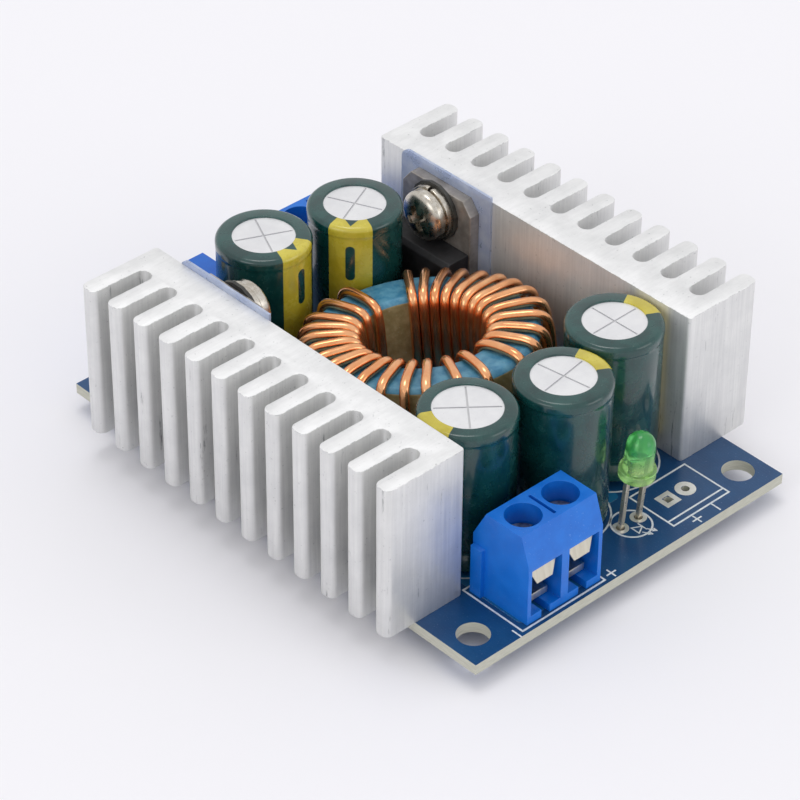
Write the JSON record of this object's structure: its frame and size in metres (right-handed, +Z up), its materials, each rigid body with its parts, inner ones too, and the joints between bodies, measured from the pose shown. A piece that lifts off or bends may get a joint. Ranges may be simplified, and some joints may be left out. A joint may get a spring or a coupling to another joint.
{
  "type": "buck converter module",
  "caption": "Blue circuit board with finned aluminium heatsinks, a copper-wound toroid, capacitors, screw terminals, a trimmer and a green lamp.",
  "frame": {"origin": "under the middle of the board, in the plane on which the clipped solder joints stand", "axes": "+Y along the board from the edge with the lamp to the edge with the trimmer, +X to the right of it as seen from above, +Z up from the component side"},
  "size_m": [0.0504, 0.06, 0.0215],
  "materials": {
    "board": "satin blue solder mask on glass-fibre board",
    "heatsink": "plain extruded, satin, lightly scratched",
    "insulating_pad": "smooth thin sheet, slightly translucent",
    "package_tab": "dull tinned",
    "black_moulding": "fine matt moulding",
    "tinned_lead": "bright tinned",
    "bush": "matt",
    "nickel_screw": "bright nickel plate",
    "core": "satin paint, blue top and olive sides",
    "copper_wire": "enamelled copper, glossy",
    "capacitor_sleeve": "shrink sleeve with bare metal disc on top",
    "terminal_blue": "moulded, half gloss",
    "clamp_metal": "tinned",
    "clamp_screw": "zinc plate",
    "lamp_green": "clear green resin",
    "trimmer_blue": "half gloss moulding",
    "trimmer_brass": "bright",
    "solder": "bright solder"
  },
  "bodies": {
    "module": {"back_left_capacitor": "capacitor_sleeve", "back_left_capacitor_leads": "tinned_lead", "back_right_capacitor": "capacitor_sleeve", "back_right_capacitor_leads": "tinned_lead", "back_terminal_housing": "terminal_blue", "back_wire_clamp_1": "clamp_metal", "back_wire_clamp_2": "clamp_metal", "back_wire_guard_1": "clamp_metal", "back_wire_guard_2": "clamp_metal", "circuit_board": "board", "front_left_capacitor": "capacitor_sleeve", "front_left_capacitor_leads": "tinned_lead", "front_middle_capacitor": "capacitor_sleeve", "front_middle_capacitor_leads": "tinned_lead", "front_right_capacitor": "capacitor_sleeve", "front_right_capacitor_leads": "tinned_lead", "front_terminal_housing": "terminal_blue", "front_wire_clamp_1": "clamp_metal", "front_wire_clamp_2": "clamp_metal", "front_wire_guard_1": "clamp_metal", "front_wire_guard_2": "clamp_metal", "lamp_leads": "tinned_lead", "lamp_lens": "lamp_green", "left_heatsink": "heatsink", "left_insulating_pad": "insulating_pad", "rectifier_bush": "bush", "rectifier_leads": "tinned_lead", "rectifier_moulding": "black_moulding", "rectifier_screw": "nickel_screw", "rectifier_spring_washer": "nickel_screw", "rectifier_tab": "package_tab", "regulator_bush": "bush", "regulator_leads": "tinned_lead", "regulator_moulding": "black_moulding", "regulator_screw": "nickel_screw", "regulator_spring_washer": "nickel_screw", "regulator_tab": "package_tab", "right_heatsink": "heatsink", "right_insulating_pad": "insulating_pad", "solder_joints": "solder", "toroid_core": "core", "toroid_winding": "copper_wire", "trimmer_body": "trimmer_blue", "trimmer_pins": "tinned_lead"},
    "back_clamp_screw_1": {"back_clamp_screw_1": "clamp_screw"},
    "back_clamp_screw_2": {"back_clamp_screw_2": "clamp_screw"},
    "front_clamp_screw_1": {"front_clamp_screw_1": "clamp_screw"},
    "front_clamp_screw_2": {"front_clamp_screw_2": "clamp_screw"},
    "trimmer_screw": {"trimmer_screw": "trimmer_brass"}
  },
  "joints": [
    {"name": "back_clamp_screw_1_turn", "type": "hinge", "parent": "module", "child": "back_clamp_screw_1", "pos_m": [0.01145, 0.02614, 0.0077], "axis": [0, 0, 1], "range_deg": [-1440, 0]},
    {"name": "back_clamp_screw_2_turn", "type": "hinge", "parent": "module", "child": "back_clamp_screw_2", "pos_m": [0.00645, 0.02614, 0.0077], "axis": [0, 0, 1], "range_deg": [-1440, 0]},
    {"name": "front_clamp_screw_1_turn", "type": "hinge", "parent": "module", "child": "front_clamp_screw_1", "pos_m": [-0.01145, -0.02574, 0.0077], "axis": [0, 0, 1], "range_deg": [-1440, 0]},
    {"name": "front_clamp_screw_2_turn", "type": "hinge", "parent": "module", "child": "front_clamp_screw_2", "pos_m": [-0.00645, -0.02574, 0.0077], "axis": [0, 0, 1], "range_deg": [-1440, 0]},
    {"name": "trimmer_screw_turn", "type": "hinge", "parent": "module", "child": "trimmer_screw", "pos_m": [-0.01325, 0.02576, 0.01165], "axis": [0, 0, 1], "continuous": true}
  ]
}
